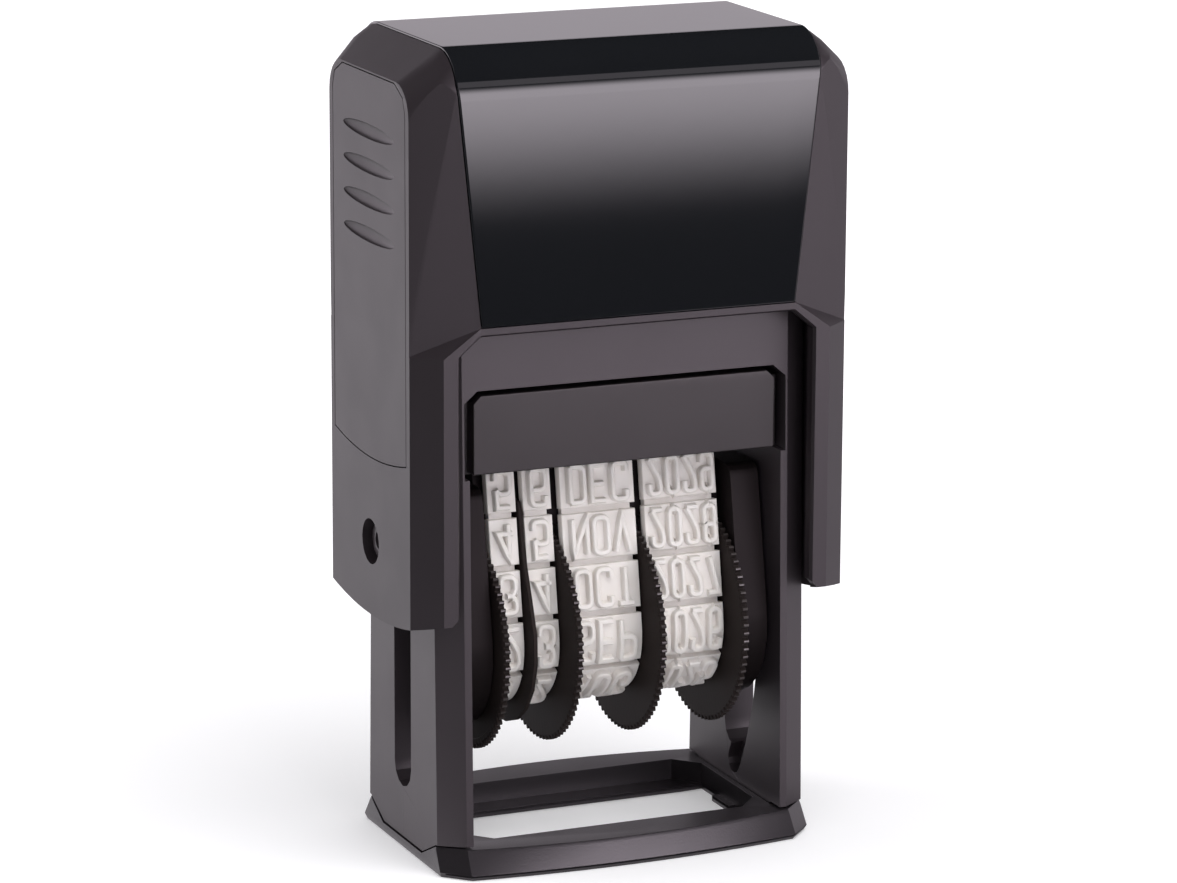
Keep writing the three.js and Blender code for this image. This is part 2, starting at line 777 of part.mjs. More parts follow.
function mainSpring() {
  const wireRadius = springWire / 2;
  const bottom = floorTop + springEndGap + wireRadius;
  const top = cavityTop - springEndGap - wireRadius;
  const stepCount = springTurnCount * springStepCount;
  const rings = Array.from({ length: stepCount + 1 }, (_, i) => {
    const turn = (2 * Math.PI * i) / springStepCount;
    const height = bottom + (top - bottom) * (i / stepCount);
    return Array.from({ length: springSideCount }, (_, k) => {
      const angle = (2 * Math.PI * k) / springSideCount;
      const reach = springRadius + wireRadius * Math.cos(angle);
      return [reach * Math.cos(turn), reach * Math.sin(turn), height + wireRadius * Math.sin(angle)];
    });
  });
  return solidOf(loft(rings));
}

// Band holder, whose heights are measured from the flip axle

const bandLoop = tearLoop(
  { half: noseHalf, z: noseHeight, radius: noseRadius + bandThickness },
  { z: wheelHeight, radius: hubRadius + looseFit + bandThickness },
);
const cheekLoop = tearLoop(
  { half: cheekTopHalf, z: cheekTopRise, radius: cheekTopRadius },
  { z: wheelHeight, radius: cheekLowRadius },
);
const platenTop = noseHeight + noseRadius - platenGap;
const platenFace = mirrored([platenBottom, platenTop].map((z) => {
  return [bandLoop.halfWidthAt(z, -bandThickness - platenGap), z];
}));
const tenonBottom = platenBottom + looseFit;
const tenonTop = cheekTopRise + cheekTopRadius - platenTenonCover;
const axleBore = (span) => rod(wheelAxleRadius + runningFit, span, wheelHeight, roundCount);

function dateBand([x0, x1]) {
  const base = prismX(bandLoop.outline(0), [x0, x1])
    .subtract(prismX(bandLoop.outline(-bandThickness), [x0 - overrun, x1 + overrun]));
  const pitch = bandLoop.length / blockCount;
  const blocks = Array.from({ length: blockCount }, (_, i) => {
    const from = (i - 1 / 2) * pitch + blockGap / 2;
    const to = from + pitch - blockGap;
    const face = bandLoop.strip(from, to, -bandThickness / 2, blockRise);
    const typeFace = bandLoop.strip(from + typeMargin, to - typeMargin, 0, blockRise + typeRise);
    return prismX(face, [x0, x1]).add(prismX(typeFace, [x0 + typeMargin, x1 - typeMargin]));
  });
  return joined(base, ...blocks);
}

// A wheel on its own axis: a knurled disc with a hub under its band
function settingWheel(disc, band) {
  const hub = [Math.min(disc[0], band[0]), Math.max(disc[1], band[1])];
  const teeth = Array.from({ length: 2 * toothCount }, (_, i) => {
    const angle = (Math.PI * i) / toothCount;
    const radius = discRadius - (i % 2) * toothDepth;
    return [radius * Math.cos(angle), radius * Math.sin(angle)];
  });
  const bore = rod(wheelAxleRadius + runningFit, [hub[0] - overrun, hub[1] + overrun], 0, roundCount);
  return prismX(teeth, disc).add(rod(hubRadius, hub, 0, roundCount)).subtract(bore);
}

function wheelAxle() {
  const halfLength = cheekOuter - wheelAxleInset;
  return rod(wheelAxleRadius, [-halfLength, halfLength], 0, roundCount);
}

function cheek(side) {
  const span = side < 0 ? [-cheekOuter, cheekInner[0]] : [cheekInner[1], cheekOuter];
  const inner = side < 0 ? span[1] : span[0];
  const pinHole = sided(side, [cheekOuter - pinRootDepth - runningFit, cheekOuter + overrun]);
  const mortiseEnd = inner + side * (platenTenonDepth + seam);
  const mortise = block(
    [inner - side * overrun, mortiseEnd].sort((a, b) => a - b),
    [-platenTenonHalf - seam, platenTenonHalf + seam],
    [tenonBottom - seam, tenonTop + seam],
  );
  return cut(
    prismX(cheekLoop.outline(0), span),
    axleBore([span[0] - overrun, span[1] + overrun]),
    rod(pivotRadius + runningFit, pinHole, 0, roundCount),
    rod(flipPinRadius + runningFit, pinHole, camRadius, pinCount),
    mortise,
  );
}

function bandPlaten() {
  const bar = prismX(platenFace, [cheekInner[0] + seam, cheekInner[1] - seam]);
  const tenons = block(
    [cheekInner[0] - platenTenonDepth, cheekInner[1] + platenTenonDepth],
    [-platenTenonHalf, platenTenonHalf],
    [tenonBottom, tenonTop],
  );
  return bar.add(tenons);
}

function dayDivider() {
  const half = Array.from({ length: arcCount + 1 }, (_, i) => {
    const share = (2 * i + 1) / (2 * arcCount + 1);
    const angle = (Math.PI / 2 + dividerShoulderAngle) * share - Math.PI / 2;
    return [dividerRadius * Math.cos(angle), wheelHeight + dividerRadius * Math.sin(angle)];
  });
  half.push([dividerWaistHalf, -dividerWaistDrop]);
  half.push([dividerNeckHalf, dividerNeckRise]);
  half.push([dividerTopHalf, dividerTopRise]);
  const across = [divider[0] - overrun, divider[1] + overrun];
  return cut(prismX(mirrored(half), divider), axleBore(across), prismX(grown(platenFace, seam), across));
}

function pivotPin(side) {
  const root = sided(side, [cheekOuter - pinRootDepth, cavityHalfWidth - slotFit]);
  const tip = handleHalfWidth - pivotEndRecess;
  return joined(
    rod(pivotRadius, root, 0, roundCount),
    rod(pivotEndRadius, sided(side, [cheekOuter, tip]), 0, pinCount),
  ).subtract(rod(pivotEndBore, sided(side, [tip - pivotEndBoreDepth, tip + overrun]), 0, pinCount));
}

function flipPin(side) {
  const span = sided(side, [cheekOuter - pinRootDepth, windowHalfWidth + camDepth - slotFit]);
  return rod(flipPinRadius, span, camRadius, pinCount);
}

// Finishes: colour, roughness and metalness

function look(color, roughness, metalness) {
  return () => new THREE.MeshStandardMaterial({ color, roughness, metalness });
}

const shellPlastic = look("#5b5459", 0.5, 0);
const glossPlastic = look("#1f2023", 0.08, 0);
const framePlastic = look("#514b50", 0.5, 0);
const footPlastic = look("#6a656a", 0.5, 0);
const blackPlastic = look("#2b2829", 0.45, 0);
const bandRubber = look("#e8e4e2", 0.6, 0);
const wheelPlastic = look("#2f2c2b", 0.55, 0);
const padFelt = look("#1a1820", 0.95, 0);
const springSteel = look("#b9bcc0", 0.3, 1);

function piece(name, solid, finish) {
  const mesh = new THREE.Mesh(geometryOf(solid), finish());
  mesh.name = name;
  return mesh;
}

function group(height, ...pieces) {
  const holder = new THREE.Group();
  holder.position.z = height;
  holder.add(...pieces);
  return holder;
}

const base = group(
  0,
  piece("base_frame", baseFrame(), framePlastic),
  piece("foot_ring", footRing(), footPlastic),
  piece("ink_cartridge", inkCartridge(), blackPlastic),
  piece("ink_pad", inkPad(), padFelt),
  piece("main_spring", mainSpring(), springSteel),
);

const handle = group(
  0,
  piece("handle_shell", handleShell(), shellPlastic),
  piece("gloss_cover", glossCover(), glossPlastic),
  piece("grip_panel_left", gripPanel(-1), shellPlastic),
  piece("grip_panel_right", gripPanel(1), shellPlastic),
);

const wheels = group(
  wheelHeight,
  piece("wheel_day_tens", settingWheel(discTens, bandTens), wheelPlastic),
  piece("wheel_day_units", settingWheel(discUnits, bandUnits), wheelPlastic),
  piece("wheel_month", settingWheel(discMonth, bandMonth), wheelPlastic),
  piece("wheel_year", settingWheel(discYear, bandYear), wheelPlastic),
  piece("wheel_axle", wheelAxle(), springSteel),
);

const bandHolder = group(
  axleHeight,
  wheels,
  piece("module_cheek_left", cheek(-1), blackPlastic),
  piece("module_cheek_right", cheek(1), blackPlastic),
  piece("band_platen", bandPlaten(), blackPlastic),
  piece("pivot_pin_left", pivotPin(-1), blackPlastic),
  piece("pivot_pin_right", pivotPin(1), blackPlastic),
  piece("flip_pin_left", flipPin(-1), blackPlastic),
  piece("flip_pin_right", flipPin(1), blackPlastic),
  piece("day_divider", dayDivider(), blackPlastic),
  piece("band_day_tens", dateBand(bandTens), bandRubber),
  piece("band_day_units", dateBand(bandUnits), bandRubber),
  piece("band_month", dateBand(bandMonth), bandRubber),
  piece("band_year", dateBand(bandYear), bandRubber),
);

export default group(0, base, handle, bandHolder);
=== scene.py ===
"""Looks of a self-inking date stamp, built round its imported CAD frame.

Sizes are in millimetres and become metres where a mesh, a light or the camera is made.
The front is towards -Y, and the bands' places are measured as in the part's source.
"""

import json
import math

import bmesh
import bpy
from mathutils import Matrix, Vector


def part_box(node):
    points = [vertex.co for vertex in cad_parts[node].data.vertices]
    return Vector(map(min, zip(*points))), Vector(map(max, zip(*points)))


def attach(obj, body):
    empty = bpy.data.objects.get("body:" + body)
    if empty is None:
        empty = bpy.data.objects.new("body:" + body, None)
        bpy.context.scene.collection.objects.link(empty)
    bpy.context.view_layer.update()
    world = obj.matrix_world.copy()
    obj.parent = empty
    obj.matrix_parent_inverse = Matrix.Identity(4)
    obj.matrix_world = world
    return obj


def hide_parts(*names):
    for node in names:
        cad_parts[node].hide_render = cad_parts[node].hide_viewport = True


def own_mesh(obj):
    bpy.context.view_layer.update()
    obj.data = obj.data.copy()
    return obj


MM = 0.001

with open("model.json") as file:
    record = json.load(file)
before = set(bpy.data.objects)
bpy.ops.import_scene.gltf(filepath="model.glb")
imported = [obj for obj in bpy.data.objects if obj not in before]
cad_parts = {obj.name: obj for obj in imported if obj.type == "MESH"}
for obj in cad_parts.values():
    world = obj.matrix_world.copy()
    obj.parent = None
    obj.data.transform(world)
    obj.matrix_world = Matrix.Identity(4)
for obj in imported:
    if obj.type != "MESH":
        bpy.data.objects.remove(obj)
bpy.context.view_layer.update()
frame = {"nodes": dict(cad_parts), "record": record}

behaviour = frame["record"]["behaviour"]
body_of = {node: body for body, members in behaviour["bodies"].items() for node in members}


def span_of(node, axis):
    """The lowest and the highest place of a CAD node along an axis, in millimetres."""
    low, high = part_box(node)
    return low[axis] / MM, high[axis] / MM


# Finishes. Each pair of shades is a colour and the one that it wanders towards.

SHELL = ("#282226", "#241f22")
FRAME = ("#2f292d", "#2a2528")
FOOT = ("#211e21", "#1b181b")
GLOSS = ("#17181b", "#1b1c1f")
BLACK = ("#262223", "#211e1f")
HOLDER = ("#221d1e", "#1d191a")
WHEEL = ("#2e2827", "#282322")
PIN = ("#3a3538", "#332f31")
# The beads' tops: a lighter shade than the wheels, a painted glint
PAINTED_GLINT_RIM = ("#3a3534", "#2b2726")
RUBBER = ("#f0ebe8", "#e0dad3")
FELT = ("#1a1820", "#2a2740")
STEEL = ("#b9bcc0", "#9a9da1")
PLASTIC_TINT = (1, 0.96, 0.99, 1)

# A colour's channel as a shader takes it, by the sRGB curve
BYTE = 255
SRGB_KNEE = 0.04045
SRGB_SLOPE = 12.92
SRGB_OFFSET = 0.055
SRGB_POWER = 2.4

NOISE_SPAN = (0.3, 0.7)
NOISE_DETAIL = 2
GRAIN_DETAIL = 3
MOULD_MOTTLE = (16, 0.3)
WEAR_SIZE = 5
WEAR = 0.015
SEAM_HALF = 0.06
SEAM_HEIGHT = 0.05
FRAME_SEAM = 0


def linear(code):
    """A colour written as #rrggbb, as the linear values that a shader takes."""
    return [
        v / SRGB_SLOPE if v <= SRGB_KNEE else ((v + SRGB_OFFSET) / (1 + SRGB_OFFSET)) ** SRGB_POWER
        for v in (channel / BYTE for channel in bytes.fromhex(code[1:]))
    ] + [1]


class Finish:
    """A node material on one Principled shader, in object coordinates."""

    def __init__(self, name, color, roughness, **settings):
        self.material = bpy.data.materials.new(name)
        self.material.use_nodes = True
        self.tree = self.material.node_tree
        self.shader = self.tree.nodes["Principled BSDF"]
        self.place = self.tree.nodes.new("ShaderNodeTexCoord").outputs["Object"]
        self.color = linear(color)
        self.put("Base Color", self.color)
        self.put("Roughness", roughness)
        for socket, value in settings.items():
            self.put(socket.replace("_", " "), value)

    def put(self, socket, value):
        self.shader.inputs[socket].default_value = value

    def noise(self, size, detail=NOISE_DETAIL):
        """Noise whose features are about this many millimetres across."""
        noise = self.tree.nodes.new("ShaderNodeTexNoise")
        noise.inputs["Scale"].default_value = 1 / (size * MM)
        noise.inputs["Detail"].default_value = detail
        self.tree.links.new(self.place, noise.inputs["Vector"])
        return noise.outputs["Fac"]

    def wander(self, size, low, high):
        """A value that wanders between two others."""
        spread = self.tree.nodes.new("ShaderNodeMapRange")
        for socket, setting in zip(("From Min", "From Max", "To Min", "To Max"), (*NOISE_SPAN, low, high)):
            spread.inputs[socket].default_value = setting
        self.tree.links.new(self.noise(size), spread.inputs["Value"])
        return spread.outputs["Result"]

    def mottle(self, size, share, other):
        """Lets the colour wander a share of the way towards another one."""
        mix = self.tree.nodes.new("ShaderNodeMix")
        mix.data_type = "RGBA"
        mix.inputs["A"].default_value = self.color
        mix.inputs["B"].default_value = linear(other)
        self.tree.links.new(self.wander(size, 0, share), mix.inputs["Factor"])
        self.tree.links.new(mix.outputs["Result"], self.shader.inputs["Base Color"])

    def wear(self, size, low, high):
        """Lets the roughness wander between two values."""
        self.tree.links.new(self.wander(size, low, high), self.shader.inputs["Roughness"])

    def grain(self, size, height):
        """A fine relief, its features and its height in millimetres."""
        bump = self.tree.nodes.new("ShaderNodeBump")
        bump.inputs["Distance"].default_value = height * MM
        self.tree.links.new(self.noise(size, GRAIN_DETAIL), bump.inputs["Height"])
        self.tree.links.new(bump.outputs["Normal"], self.shader.inputs["Normal"])

    def seam(self, y):
        """A fine raised seam over the grain, in the plane of one place along Y."""
        split = self.tree.nodes.new("ShaderNodeSeparateXYZ")
        self.tree.links.new(self.place, split.inputs["Vector"])
        ridge = self.tree.nodes.new("ShaderNodeMath")
        ridge.operation = "COMPARE"
        self.tree.links.new(split.outputs["Y"], ridge.inputs[0])
        ridge.inputs[1].default_value = y * MM
        ridge.inputs[2].default_value = SEAM_HALF * MM
        bump = self.tree.nodes.new("ShaderNodeBump")
        bump.inputs["Distance"].default_value = SEAM_HEIGHT * MM
        self.tree.links.new(ridge.outputs["Value"], bump.inputs["Height"])
        normal = self.shader.inputs["Normal"]
        self.tree.links.new(normal.links[0].from_socket, bump.inputs["Normal"])
        self.tree.links.new(bump.outputs["Normal"], normal)


def mottled(name, shades, roughness, mottle, grain, **settings):
    """A finish with two shades and a fine relief: mottle is a size and a share, grain a size and a height."""
    color, other = shades
    finish = Finish(name, color, roughness, **settings)
    finish.mottle(*mottle, other)
    finish.grain(*grain)
    return finish


def moulded(name, shades, roughness, grain, gloss=0.5, seam=None):
    """Matt moulded plastic: spark-eroded grain, a faint change of shade, and a seam if it has one."""
    finish = mottled(
        name, shades, roughness, MOULD_MOTTLE, grain, Specular_Tint=PLASTIC_TINT, Specular_IOR_Level=gloss)
    finish.wear(WEAR_SIZE, roughness - WEAR, roughness + WEAR)
    if seam is not None:
        finish.seam(seam)
    return finish.material


shell_plastic = moulded("shell_plastic", SHELL, roughness=0.5, grain=(0.16, 0.005))
frame_plastic = moulded(
    "frame_plastic", FRAME, roughness=0.48, grain=(0.16, 0.005), gloss=0.54, seam=FRAME_SEAM)
foot_plastic = moulded("foot_plastic", FOOT, roughness=0.36, grain=(0.2, 0.012), gloss=0.55)
black_plastic = moulded("black_plastic", BLACK, roughness=0.38, grain=(0.2, 0.004))
holder_plastic = moulded("holder_plastic", HOLDER, roughness=0.4, grain=(0.25, 0.006), gloss=0.06)
wheel_plastic = moulded("wheel_plastic", WHEEL, roughness=0.5, grain=(0.25, 0.008), gloss=0.03)
pin_plastic = moulded("pin_plastic", PIN, roughness=0.34, grain=(0.25, 0.006), gloss=0.7)
# Glossier than the wheels, and lighter in colour as a painted glint on the beads' tops
painted_glint_rim_plastic = moulded("painted_glint_rim_plastic", PAINTED_GLINT_RIM, roughness=0.3, grain=(0.25, 0.008))
gloss_plastic = mottled("gloss_plastic", GLOSS, roughness=0.06, mottle=(14, 0.4), grain=(6, 0.0015)).material
band_rubber = mottled(
    "band_rubber", RUBBER, roughness=0.5, mottle=(2.2, 0.5), grain=(0.25, 0.004),
    Subsurface_Weight=0.12, Subsurface_Radius=(0.9, 0.8, 0.7), Subsurface_Scale=0.6 * MM).material
pad_felt = mottled(
    "pad_felt", FELT, roughness=0.9, mottle=(1.5, 0.6), grain=(0.3, 0.06),
    Sheen_Weight=0.3, Sheen_Roughness=0.5).material
spring_steel = mottled(
    "spring_steel", STEEL, roughness=0.28, mottle=(1, 0.4), grain=(0.3, 0.004), Metallic=1).material


# Meshes

WELD = 0.002
MOST_CORNERS = 4
FLAT_ANGLE = math.radians(0.6)
SHARP_ANGLE = math.radians(26)
BEVEL_STEPS = 2
FINE_STEPS = 3


class Skin:
    """Points and faces that are gathered for one mesh."""

    def __init__(self):
        self.points = []
        self.faces = []

    def add(self, points, faces):
        start = len(self.points)
        self.points += points
        self.faces += [[start + i for i in face] for face in faces]

    def tube(self, rings, closed):
        """Joins rings of equally many points, round again to the first or with an end at each side."""
        count = len(rings[0])
        pairs = len(rings) if closed else len(rings) - 1
        faces = []
        for r in range(pairs):
            here, there = r * count, (r + 1) % len(rings) * count
            for i in range(count):
                j = (i + 1) % count
                faces.append([here + i, here + j, there + j, there + i])
        if not closed:
            faces.append(list(range(count))[::-1])
            faces.append([pairs * count + i for i in range(count)])
        self.add([p for ring in rings for p in ring], faces)


def sheet_of(name, points, faces, material):
    """An object from points in millimetres."""
    mesh = bpy.data.meshes.new(name)
    mesh.from_pydata([Vector(p) * MM for p in points], [], faces)
    mesh.materials.append(material)
    sheet = bpy.data.objects.new(name, mesh)
    bpy.context.scene.collection.objects.link(sheet)
    return sheet


def piece_of(node, points, faces, material):
    """An object that stands for a CAD node and rides on its body."""
    piece = sheet_of(node + "_looks", points, faces, material)
    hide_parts(node)
    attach(piece, body_of[node])
    return piece


def tidied(points, faces):
    """The same shape welded, with flat faces merged, at most four corners a face, and all turned outwards."""
    form = bmesh.new()
    corners = [form.verts.new(p) for p in points]
    for face in faces:
        form.faces.new([corners[i] for i in face])
    bmesh.ops.remove_doubles(form, verts=form.verts, dist=WELD)
    bmesh.ops.dissolve_degenerate(form, edges=form.edges, dist=WELD)
    bmesh.ops.dissolve_limit(form, angle_limit=FLAT_ANGLE, verts=form.verts, edges=form.edges)
    bmesh.ops.recalc_face_normals(form, faces=form.faces)
    wide = [f for f in form.faces if len(f.verts) > MOST_CORNERS]
    bmesh.ops.triangulate(form, faces=wide, ngon_method="EAR_CLIP")
    form.verts.index_update()
    result = [v.co[:] for v in form.verts], [[v.index for v in f.verts] for f in form.faces]
    form.free()
    return result


def smooth(piece, bevel=0, steps=BEVEL_STEPS):
    """Shades a piece smooth between its sharp edges, which get a small round."""
    mesh = piece.data
    form = bmesh.new()
    form.from_mesh(mesh)
    for face in form.faces:
        face.smooth = True
    for edge in form.edges:
        edge.smooth = edge.calc_face_angle(0) < SHARP_ANGLE
    form.to_mesh(mesh)
    form.free()
    if bevel:
        rounding = piece.modifiers.new("round", "BEVEL")
        rounding.width = bevel * MM
        rounding.segments = steps
        rounding.limit_method = "ANGLE"
        rounding.angle_limit = SHARP_ANGLE
        rounding.miter_outer = "MITER_ARC"
        rounding.harden_normals = False
    weights = piece.modifiers.new("weights", "WEIGHTED_NORMAL")
    weights.keep_sharp = not bevel
    return piece


def dressed(node, material, bevel, steps=BEVEL_STEPS):
    """A CAD node's own shape with its edges rounded."""
    source = frame["nodes"][node].data
    points = [v.co / MM for v in source.vertices]
    faces = [list(p.vertices) for p in source.polygons]
    return smooth(piece_of(node, *tidied(points, faces), material), bevel, steps)


# Handle, frame and holder: the CAD shapes with rounded edges

dressed("handle_shell", shell_plastic, bevel=0.3, steps=FINE_STEPS)
dressed("base_frame", frame_plastic, bevel=0.2, steps=FINE_STEPS)
dressed("foot_ring", foot_plastic, bevel=0.14, steps=FINE_STEPS)
dressed("ink_cartridge", black_plastic, bevel=0.25, steps=FINE_STEPS)
for side in ("left", "right"):
    dressed("module_cheek_" + side, holder_plastic, bevel=0.35, steps=FINE_STEPS)
    dressed("pivot_pin_" + side, pin_plastic, bevel=0.15)
    dressed("flip_pin_" + side, holder_plastic, bevel=0.12)
dressed("band_platen", holder_plastic, bevel=0.15)
dressed("day_divider", wheel_plastic, bevel=0.06)
dressed("wheel_axle", spring_steel, bevel=0.15)


# Grip panels, pad, cover and spring

GROOVE_DEEPER = 1.1
PANEL_THICKNESS = 0.75
PAD_LEVELS = 2
COVER_THICKNESS = 0.8
COVER_ROUND = 4.4
COVER_SHOULDER = 3
COVER_TAPER = 2.35
COVER_ARC_STEPS = 28
COVER_COLUMNS = 12
SPRING_WIRE = 0.8
SPRING_TURNS = 7
SPRING_STEPS = 24
SPRING_SIDES = 10


def grip_panel(node):
    """The panel with its grooves sunk a little deeper than in the CAD."""
    panel = dressed(node, shell_plastic, bevel=0.12)
    low, high = span_of(node, 0)
    face, inward = (low, 1) if low < 0 else (high, -1)
    for corner in panel.data.vertices:
        depth = inward * (corner.co.x / MM - face)
        if WELD < depth < PANEL_THICKNESS - WELD:
            corner.co.x = (face + inward * depth * GROOVE_DEEPER) * MM


def ink_pad():
    """The felt pad: a slab with soft edges."""
    pad = dressed("ink_pad", pad_felt, bevel=0.5, steps=FINE_STEPS)
    fine = pad.modifiers.new("fine", "SUBSURF")
    fine.subdivision_type = "SIMPLE"
    fine.levels = fine.render_levels = PAD_LEVELS


def cover_section(depth):
    """Points of the cover's bent sheet from the front's lower edge over the top to the back's."""
    half = span_of("gloss_cover", 1)[1] - depth
    top = span_of("gloss_cover", 2)[1] - depth
    bottom = span_of("gloss_cover", 2)[0]
    radius = COVER_ROUND - depth
    side = [(half, bottom), (half, (bottom + top - radius) / 2)]
    for i in range(COVER_ARC_STEPS + 1):
        turn = math.pi / 2 * i / COVER_ARC_STEPS
        side.append((radius * math.cos(turn) + half - radius, radius * math.sin(turn) + top - radius))
    return [(-y, z) for y, z in side] + side[::-1]


def gloss_cover():
    """The bent sheet over the handle's front, top and back, with slanted sides."""
    half_width = span_of("gloss_cover", 0)[1]
    bottom, top = span_of("gloss_cover", 2)
    shoulder = top - COVER_SHOULDER
    columns = range(COVER_COLUMNS + 1)
    rings = []
    for outer, inner in zip(cover_section(0), cover_section(COVER_THICKNESS)):
        ring = []
        for (y, z), order in ((outer, columns), (inner, columns[::-1])):
            fall = max(shoulder - z, 0) / (shoulder - bottom)
            reach = half_width - COVER_TAPER * fall
            ring += [(reach * (2 * i / COVER_COLUMNS - 1), y, z) for i in order]
        rings.append(ring)
    skin = Skin()
    skin.tube(rings, False)
    smooth(piece_of("gloss_cover", skin.points, skin.faces, gloss_plastic), bevel=0.15, steps=FINE_STEPS)


def main_spring():
    """The coil, wound evenly from the spring's lower end to its upper one."""
    low, high = span_of("main_spring", 2)
    wire = SPRING_WIRE / 2
    radius = span_of("main_spring", 1)[1] - wire
    rings = []
    for i in range(SPRING_TURNS * SPRING_STEPS + 1):
        turn = 2 * math.pi * i / SPRING_STEPS
        height = low + wire + (high - low - SPRING_WIRE) * i / (SPRING_TURNS * SPRING_STEPS)
        ring = []
        for k in range(SPRING_SIDES):
            angle = 2 * math.pi * k / SPRING_SIDES
            reach = radius + wire * math.cos(angle)
            ring.append((reach * math.cos(turn), reach * math.sin(turn), height + wire * math.sin(angle)))
        rings.append(ring)
    skin = Skin()
    skin.tube(rings, False)
    spring = smooth(piece_of("main_spring", skin.points, skin.faces, spring_steel))
    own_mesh(spring)


grip_panel("grip_panel_left")
grip_panel("grip_panel_right")
ink_pad()
gloss_cover()
main_spring()


# Date bands. A place on a band's loop is its distance along the loop, from the top middle towards the
# back, and its distance outside of the band's base surface.

WHEEL_Z = sum(span_of("wheel_month", 2)) / 2
NOSE_HALF = 2.1
NOSE_RADIUS = 0.3
BAND_THICKNESS = 0.8
BLOCK_RISE = 0.6
TYPE_RISE = 0.6
HUB_RADIUS = 4.75
HUB_FIT = 0.3
BLOCK_COUNT = 12
BLOCK_GAP = 0.55
BASE_STEPS = 144
BASE_INSET = 0.3
BLOCK_STEPS = 10
BLOCK_ROUND = 0.12
ROUND_MIDDLE_SHARE = 0.3
BLOCK_ROOT = -0.35
BLOCK_LEVELS = [
    (0, BLOCK_ROOT),
    (0, BLOCK_RISE - BLOCK_ROUND),
    (BLOCK_ROUND * ROUND_MIDDLE_SHARE, BLOCK_RISE - BLOCK_ROUND * ROUND_MIDDLE_SHARE),
    (BLOCK_ROUND, BLOCK_RISE),
]

# The loop runs over the nose's two small rounds, down a straight stretch that leans, and round the hub
NOSE_Z = span_of("band_month", 2)[1] - TYPE_RISE - BLOCK_RISE - BAND_THICKNESS - NOSE_RADIUS
UPPER_RADIUS = NOSE_RADIUS + BAND_THICKNESS
LOWER_RADIUS = HUB_RADIUS + HUB_FIT + BAND_THICKNESS
RISE = NOSE_Z - WHEEL_Z
REACH = math.hypot(NOSE_HALF, RISE)
LEAN = math.atan2(RISE, NOSE_HALF) - math.acos((LOWER_RADIUS - UPPER_RADIUS) / REACH)
STRAIGHT = math.sqrt(REACH ** 2 - (LOWER_RADIUS - UPPER_RADIUS) ** 2)
NOSE_END = NOSE_HALF + UPPER_RADIUS * (math.pi / 2 - LEAN)
SIDE_END = NOSE_END + STRAIGHT
HALF_LENGTH = SIDE_END + LOWER_RADIUS * (LEAN + math.pi / 2)
PITCH = 2 * HALF_LENGTH / BLOCK_COUNT


def band_place(x, distance, out):
    """A place on a band's loop as a point in the frame."""
    along = distance % (2 * HALF_LENGTH)
    side = -1 if along > HALF_LENGTH else 1
    t = 2 * HALF_LENGTH - along if side < 0 else along
    if t <= NOSE_HALF:
        return x, side * t, NOSE_Z + UPPER_RADIUS + out
    share = min(max((t - NOSE_END) / STRAIGHT, 0), 1)
    radius = UPPER_RADIUS + (LOWER_RADIUS - UPPER_RADIUS) * share + out
    nose_turn = max(NOSE_END - t, 0) / UPPER_RADIUS
    low_turn = max(t - SIDE_END, 0) / LOWER_RADIUS
    angle = LEAN + nose_turn - low_turn
    y = side * (NOSE_HALF * (1 - share) + radius * math.cos(angle))
    return x, y, NOSE_Z - RISE * share + radius * math.sin(angle)


def band_base(skin, left, right):
    """The band's plain loop, a little narrower than its blocks."""
    low, high = left + BASE_INSET, right - BASE_INSET
    rings = []
    for i in range(BASE_STEPS):
        s = 2 * HALF_LENGTH * i / BASE_STEPS
        corners = [(low, -BAND_THICKNESS), (high, -BAND_THICKNESS), (high, 0), (low, 0)]
        rings.append([band_place(x, s, out) for x, out in corners])
    skin.tube(rings, True)


def band_block(skin, left, right, start, end):
    """A block that bends with the band, with a small round along its top edges."""
    rows = BLOCK_STEPS + 1
    points = []
    for inset, out in BLOCK_LEVELS:
        for x in (left + inset, right - inset):
            for i in range(rows):
                s = start + inset + (end - start - 2 * inset) * i / BLOCK_STEPS
                points.append(band_place(x, s, out))
    faces = []
    top = (len(BLOCK_LEVELS) - 1) * 2 * rows
    for here in range(0, top, 2 * rows):
        there = here + 2 * rows
        for i in range(BLOCK_STEPS):
            faces.append([here + i, here + i + 1, there + i + 1, there + i])
            faces.append([here + rows + i + 1, here + rows + i, there + rows + i, there + rows + i + 1])
        for i in (0, BLOCK_STEPS):
            faces.append([here + i, here + rows + i, there + rows + i, there + i])
    for i in range(BLOCK_STEPS):
        faces.append([top + i, top + i + 1, top + rows + i + 1, top + rows + i])
        faces.append([i, rows + i, rows + i + 1, i + 1])
    skin.add(points, faces)


# Type: each character is a few strokes of one width with sloping sides. A stroke runs through corners
# that are given as shares of the character's width and height, and rounded where it says so.

TYPE_HEIGHT = 3.75
DAY_WIDTH = 1.8
DIGIT_WIDTH = 1.44
LETTER_WIDTH = 1.8
TYPE_SPACE = 0.34
TYPE_ROOT = 0.04
CORNER_ROUND = 0.62
CORNER_STEPS = 6
PATH_STEP = 0.45
MITRE_LIMIT = 0.5
STROKE_HALF = 0.2
STROKE_DRAFT = 0.12
STROKE_STEP = 0.012
SHOULDER_SHARE = 0.84
SHOULDER_DRAFT_SHARE = 0.3
STROKE_TOP_INSET = 0.06
STROKE_SIDE = [
    (STROKE_HALF + STROKE_DRAFT, 0),
    (STROKE_HALF + STROKE_DRAFT * SHOULDER_DRAFT_SHARE, SHOULDER_SHARE),
    (STROKE_HALF - STROKE_TOP_INSET, 1),
]
STROKE_SECTION = [(-across, rise) for across, rise in STROKE_SIDE] + STROKE_SIDE[::-1]

